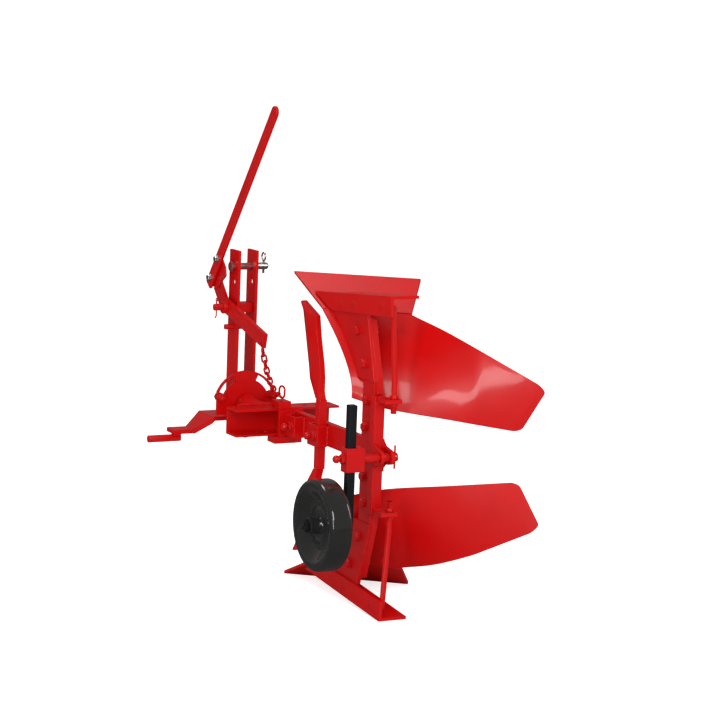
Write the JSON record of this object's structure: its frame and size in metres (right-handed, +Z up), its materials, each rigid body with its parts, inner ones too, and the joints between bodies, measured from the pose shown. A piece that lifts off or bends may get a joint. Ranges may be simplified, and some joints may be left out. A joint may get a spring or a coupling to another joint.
{
  "type": "reversible one-furrow moldboard plough",
  "caption": "Red reversible moldboard plough for a small tractor, with a hand lever that rolls it over and a black depth wheel.",
  "frame": {"origin": "on the floor, under the middle of the plough's overall box, with the plough standing on its lower share and landside", "axes": "+X to the plough's right (the side it throws soil to), +Y forwards to the tractor, +Z up; the turnover axis runs along Y"},
  "size_m": [0.7136, 0.9462, 1.2688],
  "materials": {
    "red_paint_frame": "gloss",
    "red_paint_tillage": "gloss",
    "red_paint_fittings": "gloss",
    "wheel_gloss_black": "gloss",
    "leg_satin_black": "satin",
    "zinc_plate": "satin"
  },
  "bodies": {
    "headstock": {"mast_left": "red_paint_frame", "mast_right": "red_paint_frame", "mast_crosspiece": "red_paint_frame", "top_link_pin": "zinc_plate", "top_link_lynch_pin": "zinc_plate", "mast_stop_pin": "red_paint_fittings", "cross_bar": "red_paint_frame", "lower_link_pin_left": "red_paint_frame", "lower_link_pin_right": "red_paint_frame", "turnover_disc": "red_paint_frame", "spindle_tube": "red_paint_frame", "stop_bolt_left": "red_paint_fittings", "stop_bolt_right": "red_paint_fittings", "lever_pivot_pin": "red_paint_fittings"},
    "plough_frame": {"brace_lug_lower": "red_paint_frame", "brace_lug_upper": "red_paint_frame", "brace_rod_lower": "red_paint_frame", "brace_rod_upper": "red_paint_frame", "cross_slide": "red_paint_frame", "frog_plate_lower": "red_paint_frame", "frog_plate_upper": "red_paint_frame", "frog_rib_lower": "red_paint_frame", "frog_rib_upper": "red_paint_frame", "jointer_bar": "red_paint_frame", "jointer_knife_lower": "red_paint_tillage", "jointer_knife_upper": "red_paint_tillage", "jointer_lock_bolt": "red_paint_fittings", "jointer_socket": "red_paint_frame", "landside_lower": "red_paint_tillage", "landside_upper": "red_paint_tillage", "leg_plate": "red_paint_frame", "main_beam": "red_paint_frame", "moldboard_lower": "red_paint_tillage", "moldboard_upper": "red_paint_tillage", "pivot_lug_left": "red_paint_frame", "pivot_lug_right": "red_paint_frame", "share_lower": "red_paint_tillage", "share_upper": "red_paint_tillage", "slide_clamp": "red_paint_frame", "spare_lock_bolt": "red_paint_fittings", "spare_socket": "red_paint_frame", "standard": "red_paint_frame", "turnover_spindle": "red_paint_fittings"},
    "hand_lever": {"lever_crank": "red_paint_frame", "lever_bracket": "red_paint_frame", "lever_handle": "red_paint_frame", "lever_bolt_1": "zinc_plate", "lever_bolt_2": "zinc_plate", "lift_chain": "red_paint_fittings"},
    "wheel_arm": {"wheel_pivot_shaft": "red_paint_fittings", "wheel_pivot_cotter": "red_paint_fittings", "wheel_clamp": "red_paint_frame", "wheel_lock_bolt": "red_paint_fittings", "wheel_leg": "leg_satin_black", "wheel_axle": "leg_satin_black"},
    "depth_wheel": {"wheel": "wheel_gloss_black"}
  },
  "joints": [
    {"name": "turnover", "type": "hinge", "parent": "headstock", "child": "plough_frame", "pos_m": [-0.11077, 0.31706, 0.4135], "axis": [0, -1, 0], "range_deg": [0, 180], "deforming": ["lift_chain"]},
    {"name": "lever_swing", "type": "hinge", "parent": "headstock", "child": "hand_lever", "pos_m": [-0.16277, 0.37106, 0.7065], "axis": [-1, 0, 0], "range_deg": [0, 38], "deforming": ["lift_chain"]},
    {"name": "wheel_arm_swing", "type": "hinge", "parent": "plough_frame", "child": "wheel_arm", "pos_m": [-0.12277, -0.33694, 0.4135], "axis": [-1, 0, 0], "range_deg": [0, 180]},
    {"name": "wheel_spin", "type": "hinge", "parent": "wheel_arm", "child": "depth_wheel", "pos_m": [-0.19377, -0.33694, 0.2515], "axis": [1, 0, 0], "continuous": true}
  ]
}
